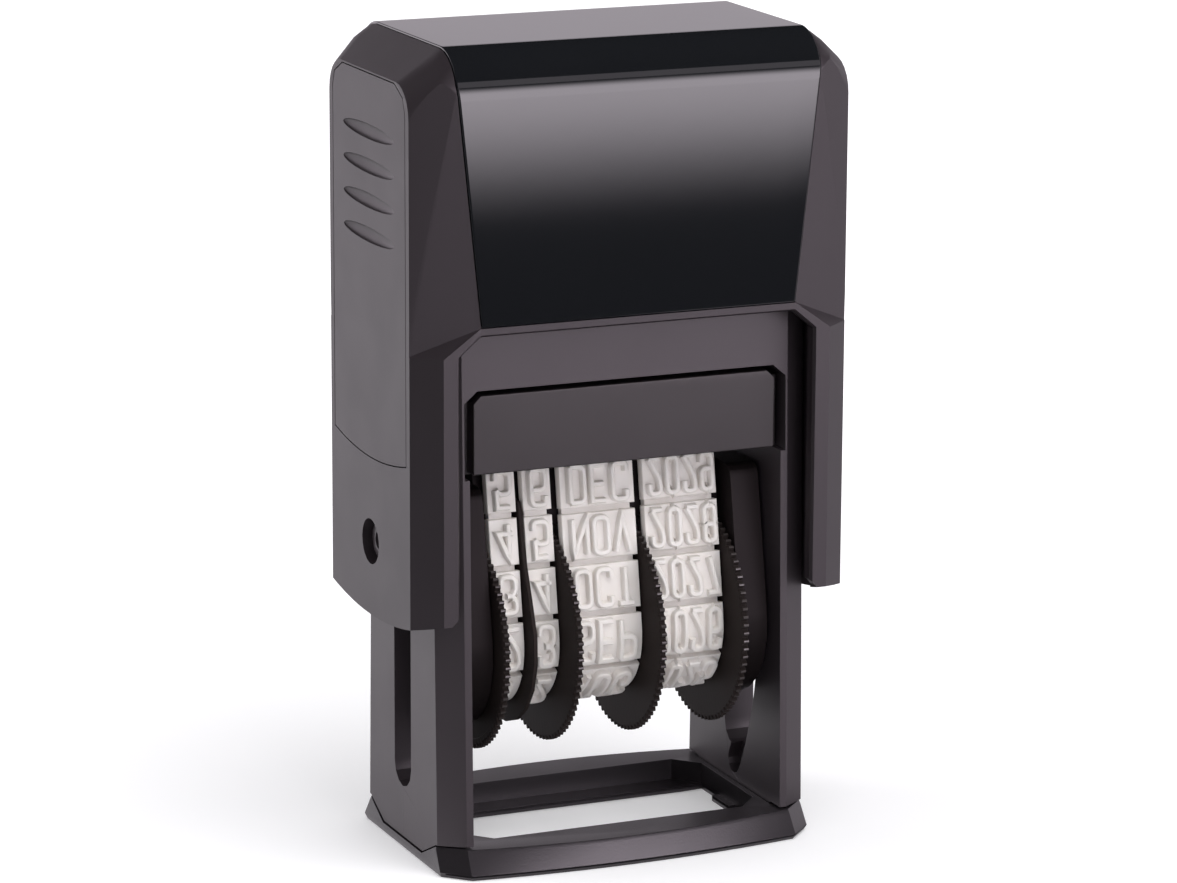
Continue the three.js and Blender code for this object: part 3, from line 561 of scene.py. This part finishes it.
ROUND, SHARP = True, False
BOWL_SHARES = [(0, 0), (1, 0), (1, 1), (0, 1), (0, 0)]
GLYPH_SHARES = {
    "0": [(ROUND, BOWL_SHARES)],
    "1": [(SHARP, [(0.1, 0.78), (0.62, 1), (0.62, 0)])],
    "2": [(ROUND, [(0, 0.72), (0, 1), (1, 1), (1, 0.62), (0.04, 0.02)]), (SHARP, [(0, 0), (1, 0)])],
    "3": [(ROUND, [(0, 0.74), (0, 1), (1, 1), (1, 0.67), (0.68, 0.53), (1, 0.39), (1, 0), (0, 0), (0, 0.26)]),
          (SHARP, [(0.36, 0.53), (0.68, 0.53)])],
    "4": [(SHARP, [(0.72, 0), (0.72, 1), (0, 0.26), (1, 0.26)])],
    "5": [(SHARP, [(0.95, 1), (0.08, 1), (0.04, 0.5)]),
          (ROUND, [(0.04, 0.5), (0.3, 0.62), (1, 0.62), (1, 0), (0, 0), (0, 0.24)])],
    "6": [(ROUND, [(1, 0.76), (1, 1), (0, 1), (0, 0), (1, 0), (1, 0.58), (0, 0.58)])],
    "7": [(SHARP, [(0, 1), (1, 1), (0.3, 0)])],
    "8": [(ROUND, [(0, 0), (1, 0), (1, 0.44), (0.84, 0.53), (1, 0.62), (1, 1),
                   (0, 1), (0, 0.62), (0.16, 0.53), (0, 0.44), (0, 0)]),
          (SHARP, [(0.16, 0.53), (0.84, 0.53)])],
    "9": [(ROUND, [(0, 0.24), (0, 0), (1, 0), (1, 1), (0, 1), (0, 0.42), (1, 0.42)])],
    "A": [(SHARP, [(0, 0), (0.5, 1), (1, 0)]), (SHARP, [(0.2, 0.28), (0.8, 0.28)])],
    "B": [(SHARP, [(0, 0), (0, 1)]), (ROUND, [(0, 1), (0.94, 1), (0.94, 0.53), (0, 0.53)]),
          (ROUND, [(0, 0.53), (1, 0.53), (1, 0), (0, 0)])],
    "C": [(ROUND, [(1, 0.76), (1, 1), (0, 1), (0, 0), (1, 0), (1, 0.24)])],
    "D": [(SHARP, [(0, 0), (0, 1)]), (ROUND, [(0, 1), (1, 1), (1, 0), (0, 0)])],
    "E": [(SHARP, [(0.95, 1), (0, 1), (0, 0), (0.95, 0)]), (SHARP, [(0, 0.53), (0.85, 0.53)])],
    "F": [(SHARP, [(0.95, 1), (0, 1), (0, 0)]), (SHARP, [(0, 0.5), (0.8, 0.5)])],
    "G": [(ROUND, [(1, 0.76), (1, 1), (0, 1), (0, 0), (1, 0), (1, 0.45)]), (SHARP, [(1, 0.45), (0.5, 0.45)])],
    "J": [(ROUND, [(0.9, 1), (0.9, 0), (0, 0), (0, 0.26)])],
    "L": [(SHARP, [(0, 1), (0, 0), (0.95, 0)])],
    "M": [(SHARP, [(0, 0), (0, 1), (0.5, 0.3), (1, 1), (1, 0)])],
    "N": [(SHARP, [(0, 0), (0, 1), (1, 0), (1, 1)])],
    "O": [(ROUND, BOWL_SHARES)],
    "P": [(SHARP, [(0, 0), (0, 1)]), (ROUND, [(0, 1), (1, 1), (1, 0.45), (0, 0.45)])],
    "R": [(SHARP, [(0, 0), (0, 1)]), (ROUND, [(0, 1), (1, 1), (1, 0.48), (0, 0.48)]),
          (SHARP, [(0.5, 0.48), (1, 0)])],
    "S": [(ROUND, [(1, 0.76), (1, 1), (0, 1), (0, 0.54), (1, 0.46), (1, 0), (0, 0), (0, 0.24)])],
    "T": [(SHARP, [(0, 1), (1, 1)]), (SHARP, [(0.5, 1), (0.5, 0)])],
    "U": [(ROUND, [(0, 1), (0, 0), (1, 0), (1, 1)])],
    "V": [(SHARP, [(0, 1), (0.5, 0), (1, 1)])],
    "Y": [(SHARP, [(0, 1), (0.5, 0.48), (1, 1)]), (SHARP, [(0.5, 0.48), (0.5, 0)])],
}

MONTHS = ["JAN", "DEC", "NOV", "OCT", "SEP", "AUG", "JUL", "JUN", "MAY", "APR", "MAR", "FEB"]
FIRST_YEAR = 2030
HIGHEST_DIGIT = 9


def rounded_corner(before, corner, after):
    """Points of a curve that takes a corner, no wider than half of the shorter side."""
    reach = min(CORNER_ROUND, (before - corner).length / 2, (after - corner).length / 2)
    start = corner + reach * (before - corner).normalized()
    end = corner + reach * (after - corner).normalized()
    steps = [i / CORNER_STEPS for i in range(CORNER_STEPS + 1)]
    return [start * (1 - t) ** 2 + corner * 2 * t * (1 - t) + end * t ** 2 for t in steps]


def stroke_path(corners, is_round):
    """The corners in millimetres, rounded, with more points along the straight stretches."""
    closed = is_round and corners[0] == corners[-1]
    ends = corners[:-1] if closed else corners
    path = []
    for i, corner in enumerate(ends):
        inner = closed or 0 < i < len(ends) - 1
        if is_round and inner:
            path += rounded_corner(ends[i - 1], corner, ends[(i + 1) % len(ends)])
        else:
            path.append(corner)
    if closed:
        path.append(path[0])
    fine = [path[0]]
    for a, b in zip(path, path[1:]):
        count = max(1, math.ceil((b - a).length / PATH_STEP))
        fine += [a + (b - a) * (k / count) for k in range(1, count + 1)]
    return fine, closed


def stroke_ring(path, i, closed):
    """The section of a stroke at a point of its path: across it, and how far up."""
    last = len(path) - 1
    before = path[i - 1] if i else (path[last - 1] if closed else path[0])
    after = path[i + 1] if i < last else (path[1] if closed else path[last])
    inward = path[i] - before if i or closed else after - path[i]
    outward = after - path[i] if i < last or closed else inward
    course = inward.normalized() + outward.normalized()
    normal = Vector((-course.y, course.x)).normalized()
    lean = abs(normal.dot(Vector((-outward.y, outward.x)).normalized()))
    stretch = 1 / max(lean, MITRE_LIMIT)
    return [(path[i] + normal * across * stretch, rise) for across, rise in STROKE_SECTION]


def band_type(skin, text, left, right, middle):
    """Raised type on a block. It stands on its head, so that its print reads the right way round."""
    width = DIGIT_WIDTH if text.isdigit() else LETTER_WIDTH
    if len(text) == 1:
        width = DAY_WIDTH
    inner = width - 2 * STROKE_HALF
    inner_height = TYPE_HEIGHT - 2 * STROKE_HALF
    row = len(text) * width + (len(text) - 1) * TYPE_SPACE
    start = (left + right - row) / 2 + STROKE_HALF
    for number, character in enumerate(text):
        origin = Vector((start + number * (width + TYPE_SPACE), -inner_height / 2))
        for layer, (is_round, shares) in enumerate(GLYPH_SHARES[character]):
            height = TYPE_RISE + TYPE_ROOT - layer * STROKE_STEP
            corners = [origin + Vector((u * inner, v * inner_height)) for u, v in shares]
            path, closed = stroke_path(corners, is_round)
            rings = []
            for i in range(len(path) - 1 if closed else len(path)):
                section = stroke_ring(path, i, closed)
                rings.append([
                    band_place(point.x, middle - point.y, BLOCK_RISE - TYPE_ROOT + height * rise)
                    for point, rise in section
                ])
            skin.tube(rings, closed)


def date_band(node, labels, shift):
    """A band with its labels in turn: the first near the nose, the next ones down the front."""
    left, right = span_of(node, 0)
    skin = Skin()
    band_base(skin, left, right)
    for i, label in enumerate(labels):
        middle = -i * PITCH - shift
        half = (PITCH - BLOCK_GAP) / 2
        band_block(skin, left, right, middle - half, middle + half)
        band_type(skin, label, left, right, middle)
    smooth(piece_of(node, skin.points, skin.faces, band_rubber))


def digits_from(first):
    """Ten digits that count down from a first one, with two bare blocks after the nought."""
    down = [str(digit) for digit in range(first, -1, -1)]
    return down + ["", ""] + [str(digit) for digit in range(HIGHEST_DIGIT, first, -1)]


# The shift is how far a band has crept round the nose from its middle place
date_band("band_day_tens", digits_from(first=6), shift=0.3)
date_band("band_day_units", digits_from(first=7), shift=0.35)
date_band("band_month", MONTHS, shift=0.5)
date_band("band_year", [str(FIRST_YEAR - i) for i in range(BLOCK_COUNT)], shift=0.4)


# Setting wheels: a disc with a beaded rim and the hub of its band

DISC_THICKNESS = 0.6
BEAD_COUNT = 84
BEAD_SHARES = (0, 0.1, 0.9, 1, 0.9, 0.1)
BEAD_DEPTH = 0.42
RIM_CHAMFER = 0.05
RIM_WIDTH = 0.9
# How far in from the beads' tops the painted glint reaches
PAINTED_GLINT_DEPTH = 0.2
DISH_DEPTH = 0.07
BOSS_RADIUS = 5.6
BORE_RADIUS = 1.6


def setting_wheel(node, band):
    """Rings round the axle, from the bore over the free face and the rim to the hub's end."""
    left, right = span_of(node, 0)
    disc_first = span_of(band, 0)[0] - left > DISC_THICKNESS / 2
    free, hub_end = (left, right) if disc_first else (right, left)
    sign = 1 if disc_first else -1
    dish = free + sign * DISH_DEPTH
    inner = free + sign * DISC_THICKNESS
    top = span_of(node, 2)[1] - WHEEL_Z
    root = top - BEAD_DEPTH
    rim = top - RIM_WIDTH
    profile = [
        (free, BORE_RADIUS, 0),
        (free, BOSS_RADIUS, 0),
        (dish, BOSS_RADIUS + DISH_DEPTH, 0),
        (dish, rim - DISH_DEPTH, 0),
        (free, rim, 0),
        (free, root - RIM_CHAMFER / 2, 0),
        (free + sign * RIM_CHAMFER, root, BEAD_DEPTH),
        (inner - sign * RIM_CHAMFER, root, BEAD_DEPTH),
        (inner, root - RIM_CHAMFER / 2, 0),
        (inner, HUB_RADIUS, 0),
        (hub_end, HUB_RADIUS, 0),
        (hub_end, BORE_RADIUS, 0),
    ]
    steps = BEAD_COUNT * len(BEAD_SHARES)
    rings = []
    for i in range(steps):
        angle = 2 * math.pi * i / steps
        share = BEAD_SHARES[i % len(BEAD_SHARES)]
        ring = []
        for x, radius, bead in profile:
            reach = radius + bead * share
            ring.append((x, reach * math.cos(angle), WHEEL_Z + reach * math.sin(angle)))
        rings.append(ring)
    skin = Skin()
    skin.tube(rings, True)
    wheel = smooth(piece_of(node, skin.points, skin.faces, wheel_plastic))
    # The rim's outer band takes the lighter plastic: a painted glint on the beads' tops
    wheel.data.materials.append(painted_glint_rim_plastic)
    for face in wheel.data.polygons:
        spread = Vector((0, face.center.y, face.center.z - WHEEL_Z * MM)).length / MM
        face.material_index = int(spread > top - PAINTED_GLINT_DEPTH)


for band in ("day_tens", "day_units", "month", "year"):
    setting_wheel("wheel_" + band, "band_" + band)


# Studio: a pale floor, soft lights, cards that only reflections see, and the photograph's camera

WHITE = (1, 1, 1, 1)
MIRROR_TINT = (1, 0.92, 1, 1)
WORLD_LIGHT = 0.6

FLOOR_SHADE = "#f4f3f6"
FLOOR_HALF = 6000
FLOOR_ROUGHNESS = 0.9
FLOOR_GLOSS = 0.1
FLOOR_GLOW = 0.18
# More glow away from the stamp than near it: the far floor stays white, and a painted soft shade lies round
# the stamp
FLOOR_GLOW_BEYOND_PAINTED_SHADE = 0.4
FLOOR_PAINTED_SHADE_REACH = (40, 230)
FLOOR_SHEEN = 0.15

CARD_SHADE = "#000000"
FRONT_CARD_ENDS = [(-30, -251), (380, -251)]
FRONT_CARD_TOP = 170
FRONT_CARD_RISE = (11, 33)
FRONT_CARD_FALL = (170, 90)
FRONT_CARD_GLOW = 7

CAMERA_TURN = math.radians(-23.413)
CAMERA_RISE = math.radians(13.42)
CAMERA_ROLL = math.radians(0.284)
CAMERA_DISTANCE = 453.04
CAMERA_SHIFT = (0.144, -2.435)
CAMERA_CLIP = 10
AIM_HEIGHT = 40
LENS = 148.14
SENSOR = 36


def level(height, outline):
    """Corners of a level sheet at a height."""
    return [(x, y, height) for x, y in outline]


def upright(ends, top):
    """Corners of a sheet that stands on the floor between two places."""
    start, end = ends
    return [(*start, 0), (*end, 0), (*end, top), (*start, top)]


def stage_sheet(name, corners, material):
    """A flat sheet of the studio."""
    sheet = sheet_of(name, corners, [list(range(len(corners)))], material)
    return sheet


def computed(tree, operation, *values):
    """One sum in a shader, of values that are numbers or other nodes' outputs."""
    node = tree.nodes.new("ShaderNodeMath")
    node.operation = operation
    for socket, value in zip(node.inputs, values):
        if isinstance(value, bpy.types.NodeSocket):
            tree.links.new(value, socket)
        else:
            socket.default_value = value
    return node.outputs["Value"]


def ramp(tree, value, start, end, peak):
    """A soft rise from nothing at one value to a peak at another, both in millimetres."""
    fade = tree.nodes.new("ShaderNodeMapRange")
    fade.interpolation_type = "SMOOTHSTEP"
    for socket, setting in (("From Min", start * MM), ("From Max", end * MM), ("To Max", peak)):
        fade.inputs[socket].default_value = setting
    tree.links.new(value, fade.inputs["Value"])
    return fade.outputs["Result"]


def seen_rays(tree):
    """One on the rays that see the background as white, from the camera and in reflections."""
    rays = tree.nodes.new("ShaderNodeLightPath").outputs
    mirrored = computed(tree, "MAXIMUM", rays["Is Camera Ray"], rays["Is Glossy Ray"])
    return computed(tree, "MAXIMUM", mirrored, rays["Is Transmission Ray"])


def mirror_color(tree):
    """White, and in reflections the faint violet of the studio."""
    mix = tree.nodes.new("ShaderNodeMix")
    mix.data_type = "RGBA"
    mix.inputs["A"].default_value = WHITE
    mix.inputs["B"].default_value = MIRROR_TINT
    tree.links.new(tree.nodes.new("ShaderNodeLightPath").outputs["Is Glossy Ray"], mix.inputs["Factor"])
    return mix.outputs["Result"]


def studio_floor():
    """A pale floor that adds a little white of its own where it is seen, and keeps the shadow. It adds less
    white near the stamp, a painted soft shade round it.
    """
    finish = Finish("floor", FLOOR_SHADE, FLOOR_ROUGHNESS, Specular_IOR_Level=FLOOR_GLOSS)
    tree = finish.tree
    tree.links.new(mirror_color(tree), finish.shader.inputs["Emission Color"])
    spread = tree.nodes.new("ShaderNodeVectorMath")
    spread.operation = "LENGTH"
    tree.links.new(finish.place, spread.inputs[0])
    # Extra glow that rises with distance from the stamp, which leaves a painted shade on the floor round it
    beyond_painted_shade = ramp(tree, spread.outputs["Value"], *FLOOR_PAINTED_SHADE_REACH, FLOOR_GLOW_BEYOND_PAINTED_SHADE)
    seen = seen_rays(tree)
    glow = computed(tree, "MULTIPLY_ADD", seen, FLOOR_GLOW, computed(tree, "MULTIPLY", seen, beyond_painted_shade))
    mirrored = tree.nodes.new("ShaderNodeLightPath").outputs["Is Glossy Ray"]
    strength = computed(tree, "MULTIPLY_ADD", mirrored, FLOOR_SHEEN, glow)
    tree.links.new(strength, finish.shader.inputs["Emission Strength"])
    signs = [(-1, -1), (1, -1), (1, 1), (-1, 1)]
    stage_sheet("floor", level(0, [(x * FLOOR_HALF, y * FLOOR_HALF) for x, y in signs]), finish.material)


def mirror_card(name, corners, glow):
    """A card that only reflections see, as a photographer sets one beside dark plastic."""
    finish = Finish(name, CARD_SHADE, roughness=1, Specular_IOR_Level=0)
    finish.put("Emission Color", MIRROR_TINT)
    finish.put("Emission Strength", glow)
    sheet = stage_sheet(name, corners, finish.material)
    sheet.visible_camera = False
    sheet.visible_diffuse = False
    sheet.visible_shadow = False
    sheet.visible_transmission = False
    return finish


def front_card():
    """The bright card in front, dim along its lower and its upper edge."""
    finish = mirror_card("front_card", upright(FRONT_CARD_ENDS, FRONT_CARD_TOP), glow=0)
    split = finish.tree.nodes.new("ShaderNodeSeparateXYZ")
    finish.tree.links.new(finish.place, split.inputs["Vector"])
    rising = ramp(finish.tree, split.outputs["Z"], *FRONT_CARD_RISE, FRONT_CARD_GLOW)
    falling = ramp(finish.tree, split.outputs["Z"], *FRONT_CARD_FALL, 1)
    strength = computed(finish.tree, "MULTIPLY", rising, falling)
    finish.tree.links.new(strength, finish.shader.inputs["Emission Strength"])


def view_axes():
    """The camera's right, its up and the way back from the stamp to it."""
    back = Vector((
        math.sin(CAMERA_TURN) * math.cos(CAMERA_RISE),
        -math.cos(CAMERA_TURN) * math.cos(CAMERA_RISE),
        math.sin(CAMERA_RISE),
    ))
    flat = Vector((math.cos(CAMERA_TURN), math.sin(CAMERA_TURN), 0))
    steep = back.cross(flat)
    right = math.cos(CAMERA_ROLL) * flat + math.sin(CAMERA_ROLL) * steep
    up = math.cos(CAMERA_ROLL) * steep - math.sin(CAMERA_ROLL) * flat
    return right, up, back


def photo_camera():
    """The camera at the photograph's angle."""
    right, up, back = view_axes()
    aim = Vector((0, 0, AIM_HEIGHT)) + CAMERA_SHIFT[0] * right + CAMERA_SHIFT[1] * up
    settings = bpy.data.cameras.new("camera")
    settings.lens = LENS
    settings.sensor_width = SENSOR
    settings.clip_start = CAMERA_CLIP * MM
    camera = bpy.data.objects.new("camera", settings)
    turn = Matrix((right, up, back)).transposed().to_4x4()
    camera.matrix_world = Matrix.Translation((aim + CAMERA_DISTANCE * back) * MM) @ turn
    bpy.context.scene.collection.objects.link(camera)
    bpy.context.scene.camera = camera


def soft_light(name, place, size, power):
    """A square light aimed at the stamp, which reflections don't see."""
    settings = bpy.data.lights.new(name, "AREA")
    settings.size = size * MM
    settings.energy = power
    light = bpy.data.objects.new(name, settings)
    light.visible_glossy = False
    stand = Vector(place)
    turn = (Vector((0, 0, AIM_HEIGHT)) - stand).to_track_quat("-Z", "Y")
    light.matrix_world = Matrix.Translation(stand * MM) @ turn.to_matrix().to_4x4()
    bpy.context.scene.collection.objects.link(light)


def white_world():
    """White to the camera and in reflections, and a plain soft light on everything else."""
    world = bpy.data.worlds.new("world")
    bpy.context.scene.world = world
    world.use_nodes = True
    tree = world.node_tree
    light = tree.nodes["Background"]
    light.inputs["Color"].default_value = WHITE
    light.inputs["Strength"].default_value = WORLD_LIGHT
    white = tree.nodes.new("ShaderNodeBackground")
    tree.links.new(mirror_color(tree), white.inputs["Color"])
    mix = tree.nodes.new("ShaderNodeMixShader")
    tree.links.new(seen_rays(tree), mix.inputs["Fac"])
    tree.links.new(light.outputs["Background"], mix.inputs[1])
    tree.links.new(white.outputs["Background"], mix.inputs[2])
    tree.links.new(mix.outputs["Shader"], tree.nodes["World Output"].inputs["Surface"])


FLAG_FLOOR = [(-900, -900), (900, -900), (900, 8), (-16, 8), (-19, -15), (-55, -30), (-60, 14), (-900, 110)]
FLAG_OVER = [(-900, -500), (900, -500), (900, 900), (-900, 900)]
RIGHT_CARD = [(26, -70), (900, -500), (900, 600), (26, 30)]

studio_floor()
photo_camera()
white_world()
front_card()
mirror_card("flag_floor", level(height=0.3, outline=FLAG_FLOOR), glow=0)
mirror_card("flag_left", upright(ends=[(-900, -900), (-900, 350)], top=900), glow=0)
mirror_card("flag_over", level(height=420, outline=FLAG_OVER), glow=0)
mirror_card("left_card", upright(ends=[(-750, 700), (-100, 900)], top=800), glow=2)
mirror_card("right_card", level(height=0.5, outline=RIGHT_CARD), glow=0.8)
mirror_card("back_card", upright(ends=[(60, 900), (1200, 900)], top=900), glow=0.7)
soft_light("key", place=(120, -250, 470), size=460, power=1.6)
soft_light("fill", place=(-340, 120, 400), size=300, power=0.7)
bpy.context.scene.view_settings.view_transform = "Standard"
